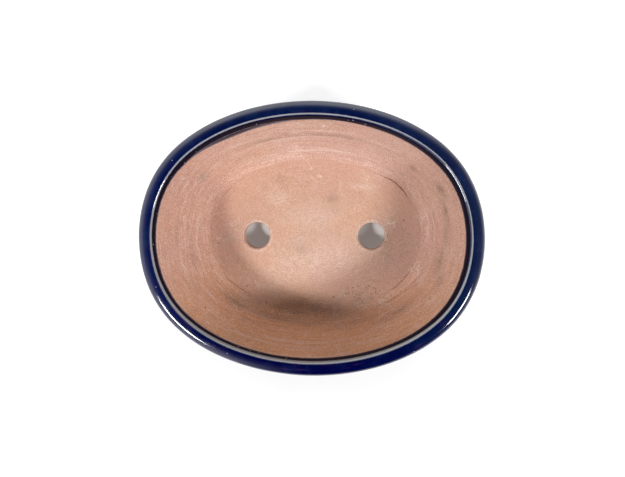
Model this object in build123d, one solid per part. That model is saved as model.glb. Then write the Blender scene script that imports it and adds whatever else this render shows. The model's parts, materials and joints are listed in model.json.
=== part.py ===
from build123d import *
import math
import os

# Oval bonsai pot: a terracotta body on four feet, glazed outside and over the lip.
# Millimetres. +Z is up, +X runs along the long side. The origin is the middle of the
# resting plane, between the feet.
#
# Every level of the pot is the same oval, drawn smaller. "Inset" is how far a point lies
# inside the pot's widest outline, so a ring is described once, by a section in
# (inset, height), and swept round the oval.

# ---- driving dimensions --------------------------------------------------------------
LENGTH = 200.0
WIDTH = 158.5
HEIGHT = 68.0
END_RADIUS = 74.0            # radius of the widest outline at its two ends
GLAZE = 0.6                  # thickness of the glaze coat

FOOT_HEIGHT = 9.0
FLOOR_TOP = 16.0
REBATE_HEIGHT = 12.5         # the wall stands on this step round the floor slab
REBATE_INSET = 25.5
FLOOR_EDGE_INSET = 18.0      # where the slab's rounded edge meets the wall
FLOOR_EDGE_MIDDLE = (19.2, 10.2)
UNDERSIDE_INSET = 22.0       # where the flat underside begins

WALL_TOP_OUTER_INSET = 5.1
WALL_MIDDLE_OUTER = (9.3, 39.5)
INNER_SLOPE = 0.25           # how fast the inside narrows just under the lip
WALL_MIDDLE_INNER = (16.08, 38.75)
WALL_FOOT_INNER = (22.0, 21.0)

LIP_OUTER_RADIUS = 4.5
LIP_INNER_RADIUS = 2.5
LIP_FLAT = 2.5               # flat width along the top of the lip
LIP_FACE = 1.8               # upright face at the widest level
TONGUE_HEIGHT = 60.0         # top of the wall's tongue, inside the lip
TONGUE_INSET = 8.0           # inner side of the tongue
LAP_HEIGHT = 56.5            # top of the wall's inner step

FILLET_MIDDLE = (24.4, 18.3)
FILLET_TOE_INSET = 28.3
FILLET_STEP = 0.6            # how far the pressed-in coil stands off wall and floor

GLAZE_LINE = 62.5            # lower edge of the glaze inside the lip
GLAZE_DIP = 4.0              # extra depth where the glaze ran
GLAZE_DIP_ANGLE = 123.0
GLAZE_DIP_HALF_WIDTH = 50.0
GLAZE_FOOT_INSET = 20.5      # lower edge of the glaze, under the rounded base

HOLE_RADIUS = 9.0
HOLE_X = 39.2
HOLE_EDGE = 1.0

FOOT_ANGLE = 42.0            # direction of each foot, seen from the end arc's centre
FOOT_OUTER_INSET = 22.6
FOOT_THICKNESS = 9.0
FOOT_DRAFT = 1.0
FOOT_TOP_HALF = 20.0
FOOT_LOBE_HALF = 16.6
FOOT_BOTTOM_HALF = 13.4
FOOT_LOBE_TOP = 7.5
FOOT_LOBE_MIDDLE = (19.0, 5.0)     # on the round lobe, (across, height)
FOOT_LOBE_BOTTOM = 4.0
FOOT_HOLLOW_MIDDLE = (14.6, 2.9)   # on the hollow under the lobe
FOOT_GLAZE_BOTTOM = 1.5

# ---- dimensions that follow ----------------------------------------------------------
END_CENTRE = LENGTH / 2 - END_RADIUS
SIDE_RADIUS = (
    (END_CENTRE**2 + (WIDTH / 2) ** 2 - END_RADIUS**2) / (2 * (WIDTH / 2 - END_RADIUS))
)
SIDE_CENTRE = SIDE_RADIUS - WIDTH / 2
JOIN_ANGLE = math.degrees(math.atan2(SIDE_CENTRE, END_CENTRE))

# Each stretch of the oval: centre x, centre y, radius, start angle, sweep.
OVAL_ARCS = [
    (END_CENTRE, 0, END_RADIUS, -JOIN_ANGLE, 2 * JOIN_ANGLE),
    (0, -SIDE_CENTRE, SIDE_RADIUS, JOIN_ANGLE, 180 - 2 * JOIN_ANGLE),
    (-END_CENTRE, 0, END_RADIUS, 180 - JOIN_ANGLE, 2 * JOIN_ANGLE),
    (0, SIDE_CENTRE, SIDE_RADIUS, 180 + JOIN_ANGLE, 180 - 2 * JOIN_ANGLE),
]

LIP_UPPER_CENTRE = HEIGHT - LIP_OUTER_RADIUS
LIP_LOWER_CENTRE = LIP_UPPER_CENTRE - LIP_FACE
LIP_BOTTOM = LIP_LOWER_CENTRE - LIP_OUTER_RADIUS
LIP_INNER_INSET = LIP_OUTER_RADIUS + LIP_FLAT + LIP_INNER_RADIUS
LIP_INNER_CENTRE = HEIGHT - LIP_INNER_RADIUS


def at(inset, height):
    """A point of a section, in the XZ plane."""
    return Vector(-inset, 0, height)


def section(*edges):
    """A closed section from its edges, in order."""
    return make_face(list(edges))


def path(*points):
    """Straight edges through (inset, height) points."""
    return Polyline(*[at(*point) for point in points])


def bend(start, middle, end):
    """A circular edge through three (inset, height) points."""
    return ThreePointArc(at(*start), at(*middle), at(*end))


def quarter(centre, radius, start_angle):
    """A quarter circle about an (inset, height) centre, in the XZ plane."""
    centre_x, centre_z = -centre[0], centre[1]
    ends = []
    for turn in (0, 45, 90):
        angle = math.radians(start_angle + turn)
        ends.append(Vector(centre_x + radius * math.cos(angle), 0, centre_z + radius * math.sin(angle)))
    return ThreePointArc(*ends)


def ring(face):
    """Sweep a section round the whole oval."""
    solids = []
    for centre_x, centre_y, radius, start, sweep in OVAL_ARCS:
        swept = revolve(Pos(radius, 0, 0) * face, axis=Axis.Z, revolution_arc=sweep)
        solids.append(Pos(centre_x, centre_y, 0) * Rot(0, 0, start) * swept)
    return solids[0].fuse(*solids[1:])


def oval_plate(inset, bottom, top):
    """A flat plate with the oval's outline at this inset."""
    edges = []
    for centre_x, centre_y, radius, start, sweep in OVAL_ARCS:
        edges.append(CenterArc((centre_x, centre_y), radius - inset, start, sweep))
    return Pos(0, 0, bottom) * extrude(make_face(edges), amount=top - bottom)


def inner_inset(height):
    """Inset of the bare inner face just under the lip."""
    return LIP_INNER_INSET - GLAZE + INNER_SLOPE * (LIP_INNER_CENTRE - height)


# ---- sections of the clay ------------------------------------------------------------
WALL_TOP = (WALL_TOP_OUTER_INSET, LIP_BOTTOM)
WALL_FOOT_OUTER = (FLOOR_EDGE_INSET, REBATE_HEIGHT)
LAP_INNER = (inner_inset(LAP_HEIGHT), LAP_HEIGHT)


def wall_section():
    return section(
        bend(WALL_FOOT_OUTER, WALL_MIDDLE_OUTER, WALL_TOP),
        path(
            WALL_TOP,
            (WALL_TOP_OUTER_INSET, TONGUE_HEIGHT),
            (TONGUE_INSET, TONGUE_HEIGHT),
            (TONGUE_INSET, LAP_HEIGHT),
            LAP_INNER,
        ),
        bend(LAP_INNER, WALL_MIDDLE_INNER, WALL_FOOT_INNER),
        path(
            WALL_FOOT_INNER,
            (REBATE_INSET, FLOOR_TOP),
            (REBATE_INSET, REBATE_HEIGHT),
            WALL_FOOT_OUTER,
        ),
    )


def floor_edge_section():
    return section(
        bend(WALL_FOOT_OUTER, FLOOR_EDGE_MIDDLE, (UNDERSIDE_INSET, FOOT_HEIGHT)),
        path(
            (UNDERSIDE_INSET, FOOT_HEIGHT),
            (REBATE_INSET, FOOT_HEIGHT),
            (REBATE_INSET, REBATE_HEIGHT),
            WALL_FOOT_OUTER,
        ),
    )


def lip_outline(coat):
    """The lip from its underside, over the top and down inside, with a coat on the clay."""
    outer = LIP_OUTER_RADIUS - GLAZE + coat
    inner = LIP_INNER_RADIUS - GLAZE + coat
    outside = LIP_OUTER_RADIUS - outer
    inside = LIP_OUTER_RADIUS + LIP_FLAT + inner
    top = LIP_UPPER_CENTRE + outer
    return [
        quarter((LIP_OUTER_RADIUS, LIP_LOWER_CENTRE), outer, 270),
        path((outside, LIP_LOWER_CENTRE), (outside, LIP_UPPER_CENTRE)),
        quarter((LIP_OUTER_RADIUS, LIP_UPPER_CENTRE), outer, 0),
        path((LIP_OUTER_RADIUS, top), (LIP_OUTER_RADIUS + LIP_FLAT, top)),
        quarter((LIP_OUTER_RADIUS + LIP_FLAT, LIP_INNER_CENTRE), inner, 90),
        path((inside, LIP_INNER_CENTRE), (inner_inset(LAP_HEIGHT) + coat, LAP_HEIGHT)),
    ]


def lip_section():
    clay_bottom = LIP_BOTTOM + GLAZE
    return section(
        *lip_outline(0),
        path(
            LAP_INNER,
            (TONGUE_INSET, LAP_HEIGHT),
            (TONGUE_INSET, TONGUE_HEIGHT),
            (WALL_TOP_OUTER_INSET, TONGUE_HEIGHT),
            (WALL_TOP_OUTER_INSET, clay_bottom),
            (LIP_OUTER_RADIUS, clay_bottom),
        ),
    )


def fillet_section():
    ledge = (WALL_FOOT_INNER[0] + FILLET_STEP, WALL_FOOT_INNER[1])
    toe = (FILLET_TOE_INSET, FLOOR_TOP + FILLET_STEP)
    return section(
        path(ledge, WALL_FOOT_INNER, (REBATE_INSET, FLOOR_TOP), (FILLET_TOE_INSET, FLOOR_TOP), toe),
        bend(toe, FILLET_MIDDLE, ledge),
    )


# ---- sections of the glaze -----------------------------------------------------------
def lip_glaze_section():
    blank = section(
        *lip_outline(GLAZE),
        path(
            (inner_inset(LAP_HEIGHT) + GLAZE, LAP_HEIGHT),
            (TONGUE_INSET, LAP_HEIGHT),
            (WALL_TOP_OUTER_INSET, LIP_BOTTOM),
            (LIP_OUTER_RADIUS, LIP_BOTTOM),
        ),
    )
    return blank - lip_section() - wall_section()


def wall_glaze_section():
    foot = (WALL_FOOT_OUTER[0] - GLAZE, WALL_FOOT_OUTER[1])
    top = (WALL_TOP[0] - GLAZE, WALL_TOP[1])
    outward = GLAZE * math.sqrt(0.5)
    edge = (FLOOR_EDGE_MIDDLE[0] - outward, FLOOR_EDGE_MIDDLE[1] - outward)
    end = (GLAZE_FOOT_INSET, FOOT_HEIGHT)
    blank = section(
        bend(foot, (WALL_MIDDLE_OUTER[0] - GLAZE, WALL_MIDDLE_OUTER[1]), top),
        path(top, WALL_TOP, (REBATE_INSET, REBATE_HEIGHT), (GLAZE_FOOT_INSET, REBATE_HEIGHT), end),
        bend(end, edge, foot),
    )
    return blank - wall_section() - floor_edge_section()


# ---- the pieces ----------------------------------------------------------------------
def floor_slab():
    """Base slab: rebated rim for the wall, two drain holes with broken edges."""
    slab = oval_plate(REBATE_INSET, FOOT_HEIGHT, FLOOR_TOP) + ring(floor_edge_section())
    for side in (-1, 1):
        slab -= Pos(side * HOLE_X, 0, FLOOR_TOP) * Cylinder(HOLE_RADIUS, 4 * FLOOR_TOP)
    edges = slab.edges().filter_by(GeomType.CIRCLE)
    hole_edges = [edge for edge in edges if abs(edge.radius - HOLE_RADIUS) < 0.01]
    return fillet(hole_edges, HOLE_EDGE)


def lip_glaze():
    """Glaze over the lip; its lower edge inside runs deeper on one side."""
    reach = LENGTH
    dip_curve = Spline(
        (-GLAZE_DIP_HALF_WIDTH, GLAZE_LINE),
        (0, GLAZE_LINE - GLAZE_DIP),
        (GLAZE_DIP_HALF_WIDTH, GLAZE_LINE),
        tangents=((1, 0), (1, 0)),
    )
    closing = Line((GLAZE_DIP_HALF_WIDTH, GLAZE_LINE), (-GLAZE_DIP_HALF_WIDTH, GLAZE_LINE))
    outward = Vector(1, 0, 0).rotate(Axis.Z, GLAZE_DIP_ANGLE)
    upright = Plane(origin=(0, 0, 0), x_dir=outward.cross(Vector(0, 0, 1)), z_dir=-outward)
    run = extrude(upright * make_face([dip_curve, closing]), amount=-reach)
    bare = oval_plate(LIP_OUTER_RADIUS + LIP_FLAT, LAP_HEIGHT - 1, GLAZE_LINE)
    return ring(lip_glaze_section()) - (bare - run)


def foot_outline(bottom):
    """Front view of a bracket foot, cut off at a height."""
    lobe_start = (FOOT_TOP_HALF, FOOT_LOBE_TOP)
    lobe_end = (FOOT_LOBE_HALF, FOOT_LOBE_BOTTOM)
    toe = (FOOT_BOTTOM_HALF, 0)
    half = [
        Polyline((0, 0), (0, FOOT_HEIGHT), (FOOT_TOP_HALF, FOOT_HEIGHT), lobe_start),
        ThreePointArc(lobe_start, FOOT_LOBE_MIDDLE, lobe_end),
        ThreePointArc(lobe_end, FOOT_HOLLOW_MIDDLE, toe),
        Line(toe, (0, 0)),
    ]
    face = make_face(half)
    whole = face + mirror(face, about=Plane.YZ)
    below = Pos(0, bottom - FOOT_HEIGHT) * Rectangle(3 * FOOT_TOP_HALF, 2 * FOOT_HEIGHT)
    return whole - below if bottom > 0 else whole


def foot_shell(outer, inner, bottom):
    """A foot-shaped stretch of ring at the +X +Y corner, between two insets."""
    profile = section(
        path(
            (outer, FOOT_HEIGHT),
            (inner, FOOT_HEIGHT),
            (inner - FOOT_DRAFT, 0),
            (outer + FOOT_DRAFT, 0),
            (outer, FOOT_HEIGHT),
        )
    )
    swept = revolve(Pos(END_RADIUS, 0, 0) * profile, axis=Axis.Z, revolution_arc=2 * FOOT_ANGLE)
    outward = Vector(1, 0, 0).rotate(Axis.Z, FOOT_ANGLE)
    front = Plane(origin=(0, 0, 0), x_dir=Vector(0, 0, 1).cross(outward), z_dir=outward)
    prism = extrude(front * foot_outline(bottom), amount=END_RADIUS)
    return Pos(END_CENTRE, 0, 0) * (swept & prism)


def foot():
    return foot_shell(FOOT_OUTER_INSET, FOOT_OUTER_INSET + FOOT_THICKNESS, 0)


def foot_glaze():
    coated = foot_shell(FOOT_OUTER_INSET - GLAZE, FOOT_OUTER_INSET + FOOT_THICKNESS, FOOT_GLAZE_BOTTOM)
    return coated - foot()


def corners(shape):
    """The same shape at the pot's four corners, by name."""
    back = shape.mirror(Plane.YZ)
    return {
        "back_right": shape,
        "back_left": back,
        "front_right": shape.mirror(Plane.XZ),
        "front_left": back.mirror(Plane.XZ),
    }


def main():
    pieces = {
        "floor_slab": floor_slab(),
        "wall": ring(wall_section()),
        "lip_roll": ring(lip_section()),
        "corner_fillet": ring(fillet_section()),
        "lip_glaze": lip_glaze(),
        "wall_glaze": ring(wall_glaze_section()),
    }
    for corner, shape in corners(foot()).items():
        pieces["foot_" + corner] = shape
    for corner, shape in corners(foot_glaze()).items():
        pieces["foot_glaze_" + corner] = shape
    os.makedirs("parts", exist_ok=True)
    for name, shape in pieces.items():
        export_step(shape, os.path.join("parts", name + ".step"))


main()
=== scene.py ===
"""Oval bonsai pot: bare terracotta inside, cobalt glaze over the lip and the outside."""

import json
import math

import bpy
import numpy as np
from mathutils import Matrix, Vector, noise


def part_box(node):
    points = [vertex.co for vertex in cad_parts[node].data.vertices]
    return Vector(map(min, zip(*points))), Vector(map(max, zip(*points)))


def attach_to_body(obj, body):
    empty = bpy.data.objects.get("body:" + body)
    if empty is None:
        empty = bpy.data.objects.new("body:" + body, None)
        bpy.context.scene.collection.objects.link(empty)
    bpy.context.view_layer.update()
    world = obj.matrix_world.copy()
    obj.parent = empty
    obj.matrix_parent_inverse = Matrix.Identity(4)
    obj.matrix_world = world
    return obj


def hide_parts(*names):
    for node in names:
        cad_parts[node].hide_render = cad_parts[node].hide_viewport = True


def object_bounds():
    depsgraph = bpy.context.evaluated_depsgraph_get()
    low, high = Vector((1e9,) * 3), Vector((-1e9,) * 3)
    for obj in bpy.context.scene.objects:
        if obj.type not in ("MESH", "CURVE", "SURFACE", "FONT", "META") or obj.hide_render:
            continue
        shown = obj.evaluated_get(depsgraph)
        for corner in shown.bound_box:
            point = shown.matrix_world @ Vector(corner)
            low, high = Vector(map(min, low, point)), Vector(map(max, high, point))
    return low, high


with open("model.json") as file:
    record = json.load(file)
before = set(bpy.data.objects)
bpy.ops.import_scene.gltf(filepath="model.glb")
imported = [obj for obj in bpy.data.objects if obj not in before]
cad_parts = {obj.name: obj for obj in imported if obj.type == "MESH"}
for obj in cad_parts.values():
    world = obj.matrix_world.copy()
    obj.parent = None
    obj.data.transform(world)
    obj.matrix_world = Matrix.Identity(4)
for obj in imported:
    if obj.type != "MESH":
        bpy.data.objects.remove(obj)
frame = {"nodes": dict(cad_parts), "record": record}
CAD_LOW, CAD_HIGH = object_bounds()

# ---- sizes, in millimetres ----
MM = 0.001
HALF_LENGTH = CAD_HIGH.x / MM
HALF_WIDTH = CAD_HIGH.y / MM
LIP_TOP = CAD_HIGH.z / MM
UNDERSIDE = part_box("floor_slab")[0].z / MM
FLOOR_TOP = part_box("floor_slab")[1].z / MM
LAP_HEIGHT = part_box("lip_roll")[0].z / MM
HOLES = [
    (mount["pos_m"][0] / MM, mount["dims"]["r_mm"])
    for mount in frame["record"]["mounts"]
    if mount["kind"] == "bore"
]

GLAZE = 0.6
LIP_OUTER_RADIUS = 4.5
LIP_INNER_RADIUS = 2.5
LIP_FLAT = 2.5
LIP_FACE = 1.8
LIP_BOTTOM = LIP_TOP - 2 * LIP_OUTER_RADIUS - LIP_FACE
LIP_CENTRE = LIP_TOP - LIP_INNER_RADIUS  # height of the inner rounding's centre
LIP_INNER_INSET = LIP_OUTER_RADIUS + LIP_FLAT + LIP_INNER_RADIUS
LIP_INNER_RUN = LIP_FLAT / 2 + LIP_INNER_RADIUS * math.pi / 2  # from its ridge to its inner face
TONGUE = (8.0, 60.0)  # inset and height of the wall's tongue
REBATE = (25.5, 12.5)

WALL_TOP_INSET = 5.1
WALL_FOOT_INSET = 18.0
EDGE_INSET = 22.0  # where the flat underside begins
INNER_SLOPE = 0.25
INNER_CURVE = 0.001567
OUTER_SLOPE = 0.2037
OUTER_CURVE = 0.0019

FILLET_TOP = 21.0
FILLET_TOE = 28.3
FILLET_STEP = 0.6
FILLET_HOLLOW = (1.6, 0.5)  # from the corner to where the tangents of the coil's front meet
SEAM_RISE = 0.60  # lift of the coil's edge beside an open seam
SEAM_PLACE = 0.35  # how far the seam runs inside the coil's edge
SEAM_HALF_WIDTH = 0.28

HOLE_EDGE = 1.0
RIM_RISE = 0.30  # raised ring round a drain hole
RIM_PLACE, RIM_HALF_WIDTH = 1.6, 0.9
FLAT_ROUND_HOLE = 6.0
RIM_SHEEN_PLACE, RIM_SHEEN_HALF_WIDTH = 1.2, 0.8  # painted highlight: a pale ring round a drain hole, on its raised rim
FINE_RINGS_END = 31.5  # insets where the floor's rings change their spacing
FLOOR_MIDDLE = 34.0

GLAZE_LINE = 62.5
GLAZE_EDGE = 0.55  # height over which the glaze's lower edge rounds off
GLAZE_DIP = 4.0  # how much deeper it ran at one place
GLAZE_DIP_ANGLE = math.radians(123.0)
GLAZE_DIP_HALF_WIDTH = 50.0

FOOT_OUTER = 22.6  # inset of the feet's outer face
FOOT_THICK = 9.0
FOOT_DRAFT = 1.0  # how much a foot narrows on each face, top to bottom
FOOT_CORNER = 1.3
FOOT_EASE = 0.6  # rounding of the edge that a foot stands on
FOOT_DIRECTION = math.radians(42.0)
FOOT_BEND = 49.0  # radius of the feet's outer face, seen from above
LOBE_TOP, LOBE_BOTTOM = 7.4, 4.0
TOP_HALF, LOBE_HALF, TOE_HALF = 20.0, 16.6, 13.4
FOOT_GLAZE_BOTTOM = 1.5
FOOT_GLAZE_DIP, FOOT_GLAZE_BACK = 0.2, 0.35  # how far its hidden back and inside lie in the clay
FOOT_CORNERS = {
    "back_right": (1, 1),
    "back_left": (-1, 1),
    "front_right": (1, -1),
    "front_left": (-1, -1),
}

# How far hand work leaves each surface off its true shape.
RIDGES, SCRATCHES, LUMPS = 0.13, 0.06, 0.30
TOE_SWAY, TOE_NICKS, COIL_RIPPLE = 0.7, 0.25, 0.10
FLOOR_LUMPS, FLOOR_DINTS, UNDERSIDE_LUMPS = 0.25, 0.06, 0.10
GLAZE_WAVE, GLAZE_LINE_WAVE = 0.10, 0.12
# And how much thicker the outside's glaze is, as a share: in runs, in swells, where it pooled.
RUNS, SWELLS, POOL = 0.30, 0.18, 0.35

# Marks on the bare wall: direction in degrees, height, half length in degrees, half height,
# strength. The grey ones are smudges, and low at the front painted shade.
GREY_SMUDGES_AND_SHADE = [
    (29, 46, 6, 4.0, 0.9), (14, 41, 9, 3.2, 0.9), (2, 38, 7, 2.6, 0.7), (346, 34, 8, 5.0, 0.9),
    (335, 42, 6, 4.0, 0.6), (51, 37, 3, 3.0, 0.8), (300, 34, 10, 4.0, 0.8), (284, 27, 9, 3.5, 0.7),
    # Painted shade: the broad marks low at the front, where the lip's shadow falls.
    (268, 18, 24, 7.0, 0.75), (262, 24, 16, 4.0, 0.8), (240, 24, 8, 3.5, 0.8), (136, 38, 5, 4.0, 0.6),
    (102, 41, 9, 2.0, 0.7), (83, 41, 9, 2.4, 0.8), (192, 30, 12, 3.0, 0.5), (176, 44, 8, 2.0, 0.5),
    (212, 40, 7, 2.5, 0.4),
]
PALE_SMEARS = [
    (92, 22, 26, 1.8, 0.8), (185, 24, 26, 1.5, 0.6), (0, 24, 26, 1.5, 0.5), (70, 27, 10, 1.5, 0.5),
    (252, 51, 14, 1.6, 0.6), (266, 46, 9, 1.6, 0.8), (88, 38, 18, 1.2, 0.6), (69, 44, 6, 1.2, 0.8),
    (134, 38, 8, 2.0, 0.6), (160, 41, 12, 1.0, 0.8), (200, 41, 14, 1.0, 0.7), (225, 33, 10, 1.2, 0.6),
    (330, 24, 12, 2.0, 0.5), (112, 45, 8, 1.0, 0.6), (176, 35, 12, 0.8, 0.7), (20, 30, 10, 1.4, 0.5),
    (292, 44, 8, 1.0, 0.6), (310, 40, 9, 0.9, 0.6), (30, 38, 6, 0.8, 0.6), (146, 31, 9, 1.0, 0.6),
    (235, 42, 8, 1.0, 0.5), (348, 44, 7, 0.8, 0.6),
]
# Marks on the floor: x, y, half sizes along x and y, strength. The grey ones are spots near the
# middle, and painted shade at the front and both sides.
FLOOR_GREYS_AND_SHADE = [
    # Painted shade: the broad marks at the front and at both sides, where the lip's shadows fall.
    (13, 25, 4, 3, 0.7), (-9, -9, 8, 4, 0.35), (31, -42, 12, 5, 0.5), (0, -48, 32, 6, 0.8),
    (22, -47, 18, 6, 0.5), (56, -8, 14, 24, 0.4), (-56, -8, 12, 24, 0.4), (-20, -44, 26, 6, 0.35),
]
FLOOR_PALES = [(-24, 25, 8, 5, 0.6), (-2, 12, 20, 9, 0.5), (34, 33, 9, 2, 0.7), (2, -17, 34, 15, 0.5)]
FLOOR_SPECKS = [(34, -39, 13, 7, 1.0)]
# Open stretches of the seam round the floor: direction and half length in degrees, depth.
SEAM_GAPS = [(50, 14, 1.0), (128, 10, 0.35), (229, 12, 0.7), (316, 14, 0.6)]

# The oval's outline: distance of its tangent from the centre, as a short cosine series.
SQUARENESS = -1.38
OVAL_TURN = (HALF_LENGTH - HALF_WIDTH) / 2
OVAL_MEAN = (HALF_LENGTH + HALF_WIDTH) / 2 - SQUARENESS

AROUND = 720  # steps round the oval
DOWN_UNIT = 100  # millimetres to one unit of the way down
FOOT_DOWN = -130.0  # the way down at a foot's bottom: outside the pot it counts below zero
SHADE_FROM = 3.1  # distance from the lip's ridge to where the glaze is painted dark as shade


# ---- the oval and the pot's sections ----
def oval(direction, inset):
    """Point of the outline, moved in by inset, whose outward normal has this direction."""
    reach = OVAL_MEAN + OVAL_TURN * np.cos(2 * direction) + SQUARENESS * np.cos(4 * direction) - inset
    slide = -2 * OVAL_TURN * np.sin(2 * direction) - 4 * SQUARENESS * np.sin(4 * direction)
    x = reach * np.cos(direction) - slide * np.sin(direction)
    y = reach * np.sin(direction) + slide * np.cos(direction)
    return x, y


def noise_at(x, y, z, octaves=3):
    """Fractal noise, about -1 to 1, at arrays of coordinates."""
    x, y, z = np.broadcast_arrays(x, y, z)
    values = [
        noise.fractal(Vector(point), 0.8, 2.0, octaves, noise_basis="PERLIN_ORIGINAL")
        for point in zip(x.ravel(), y.ravel(), z.ravel())
    ]
    return np.array(values).reshape(x.shape)


def ramp(value, low, high):
    """Smooth step from 0 at low to 1 at high."""
    t = np.clip((value - low) / (high - low), 0, 1)
    return t * t * (3 - 2 * t)


def hump(value, middle, half_width):
    """Smooth hump: 1 in the middle and nearly gone two half widths away."""
    return np.exp(-(((value - middle) / half_width) ** 2))


def rounded(distance, radius):
    """Profile of a rounded edge: 0 at the edge, 1 from one radius on."""
    return np.sqrt(1 - (1 - np.clip(distance / radius, 0, 1)) ** 2)


def inner_inset(height):
    """Inset of the bare inner face, from the lip to the corner fillet."""
    below_lap = np.maximum(0, LAP_HEIGHT - height)
    straight = LIP_INNER_INSET - GLAZE + INNER_SLOPE * (LIP_CENTRE - height)
    return straight + INNER_CURVE * below_lap**2


def outer_inset(height):
    """Inset of the wall's clay outside."""
    drop = LIP_BOTTOM - height
    return WALL_TOP_INSET + OUTER_SLOPE * drop + OUTER_CURVE * drop**2


def wiped(direction, height):
    """How far the hand-finished inside stands off its true shape: wiping ridges and soft lumps."""
    c, s = np.cos(direction), np.sin(direction)
    ridges = RIDGES * noise_at(2.2 * c, 2.2 * s, height / 4.5)
    scratches = SCRATCHES * noise_at(5.0 * c, 5.0 * s, height / 1.5 + 50, 2)
    lumps = LUMPS * noise_at(2.2 * c + 7, 2.2 * s, height / 22, 2)
    return (ridges + scratches + lumps) * ramp(LIP_CENTRE - height, 0, 6)


def arc(centre, radii, start, end, steps):
    """Points (inset, height) on an elliptical arc; angles in degrees, 0 is inward, 90 is up."""
    turn = np.radians(np.linspace(start, end, steps))
    inset = centre[0] + radii[0] * np.cos(turn)
    height = centre[1] + radii[1] * np.sin(turn)
    return np.column_stack((inset, height))


def line(start, end, steps):
    """Points on a straight line."""
    return np.linspace(start, end, steps)


def join(*stretches):
    """One open path from stretches that share their end points."""
    points = [stretches[0]]
    points += [stretch[1:] for stretch in stretches[1:]]
    return np.concatenate(points)


# ---- meshes ----
def attach(mesh, name, values):
    """Keep three numbers for each point of a mesh, for its material to read."""
    attribute = mesh.attributes.new(name, "FLOAT_VECTOR", "POINT")
    attribute.data.foreach_set("vector", values.astype(np.float32).ravel())


def mesh_piece(name, points, faces, flow=None, sharp_degrees=35, marks=None):
    """A smooth-shaded object from points in millimetres, with flow coordinates and marks."""
    mesh = bpy.data.meshes.new(name)
    mesh.from_pydata((points * MM).tolist(), [], faces)
    for attribute_name, values in (("flow", flow), ("marks", marks)):
        if values is not None:
            attach(mesh, attribute_name, values)
    mesh.validate()
    mesh.shade_smooth()
    mesh.set_sharp_from_angle(angle=math.radians(sharp_degrees))
    piece = bpy.data.objects.new(name, mesh)
    bpy.context.scene.collection.objects.link(piece)
    return piece


def band_faces(rows, columns, wrap_rows, wrap_columns):
    """Quads between neighbouring rows and columns of a grid of points."""
    faces = []
    for row in range(rows if wrap_rows else rows - 1):
        upper = (row + 1) % rows
        for column in range(columns if wrap_columns else columns - 1):
            right = (column + 1) % columns
            faces.append((
                row * columns + column,
                row * columns + right,
                upper * columns + right,
                upper * columns + column,
            ))
    return faces


def capped_faces(rows, columns):
    """Faces of a turned form: its rows run round it, its first and last columns are closed."""
    faces = band_faces(rows, columns, True, False)
    faces.append([row * columns for row in range(rows)][::-1])
    faces.append([row * columns + columns - 1 for row in range(rows)])
    return faces


def flow_at(direction, down):
    """Coordinates for streaks: the way round as a unit circle, and the way down from the lip."""
    direction, down = np.broadcast_arrays(direction, down)
    return np.stack((np.cos(direction), np.sin(direction), down / DOWN_UNIT), axis=-1)


def directions():
    """The directions that the rings are drawn at."""
    return np.linspace(0, 2 * math.pi, AROUND, endpoint=False)


def ring_piece(name, inset, height, sharp_degrees=35, down=None, marks=None):
    """Sweep a closed section round the oval. inset and height are (AROUND, steps) arrays."""
    direction = directions()[:, None]
    x, y = oval(direction, inset)
    points = np.stack((x, y, height), axis=2).reshape(-1, 3)
    if down is None:
        down = inset + LIP_TOP - height
    flow = flow_at(direction, down).reshape(-1, 3)
    faces = band_faces(AROUND, inset.shape[1], True, True)
    return mesh_piece(name, points, faces, flow, sharp_degrees, marks)


def everywhere(path):
    """Repeat one (inset, height) path at every direction."""
    inset = np.tile(path[:, 0], (AROUND, 1))
    height = np.tile(path[:, 1], (AROUND, 1))
    return inset, height


def side_by_side(*paths):
    """One closed section from (inset, height) pairs that follow one another."""
    return (
        np.concatenate([path[0] for path in paths], axis=1),
        np.concatenate([path[1] for path in paths], axis=1),
    )


# ---- marks on the clay ----
def turn_from(direction, degrees):
    """Degrees round the pot from a place, -180 to 180."""
    return (np.degrees(direction) - degrees + 180) % 360 - 180


def strongest(shape, blobs):
    """The largest of several soft blobs; each is (across 1, across 2, strength)."""
    total = np.zeros(shape)
    for first, second, strength in blobs:
        total = np.maximum(total, strength * np.exp(-(first**2) - second**2))
    return total


def wall_marks(height):
    """Grey smudges and painted shade, pale slip smears and specks, each 0 to 1. The wall has no extra
    specks.
    """
    direction = directions()[:, None]
    layers = []
    for places in (GREY_SMUDGES_AND_SHADE, PALE_SMEARS):
        blobs = [
            (turn_from(direction, degrees) / half_length, (height - level) / half_height, strength)
            for degrees, level, half_length, half_height, strength in places
        ]
        layers.append(strongest(height.shape, blobs))
    layers.append(np.zeros(height.shape))
    return np.stack(layers, axis=-1)


def floor_marks(x, y):
    """The same three layers on the floor; the pale layer also holds a painted highlight ring round
    each drain hole.
    """
    layers = []
    for places in (FLOOR_GREYS_AND_SHADE, FLOOR_PALES, FLOOR_SPECKS):
        blobs = [
            ((x - at_x) / half_x, (y - at_y) / half_y, strength)
            for at_x, at_y, half_x, half_y, strength in places
        ]
        layers.append(strongest(x.shape, blobs))
    for hole_x, radius in HOLES:
        # Painted highlight on the raised rim round the hole.
        ring = hump(np.hypot(x - hole_x, y), radius + RIM_SHEEN_PLACE, RIM_SHEEN_HALF_WIDTH)
        layers[1] = np.maximum(layers[1], 0.9 * ring)
    return np.stack(layers, axis=-1)


# ---- clay ----
def inner_path(top, bottom, steps):
    """The bare inner face between two heights, with its hand-wiped surface."""
    height = np.tile(np.linspace(top, bottom, steps), (AROUND, 1))
    inset = inner_inset(height) + wiped(directions()[:, None], height)
    return inset, height


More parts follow.
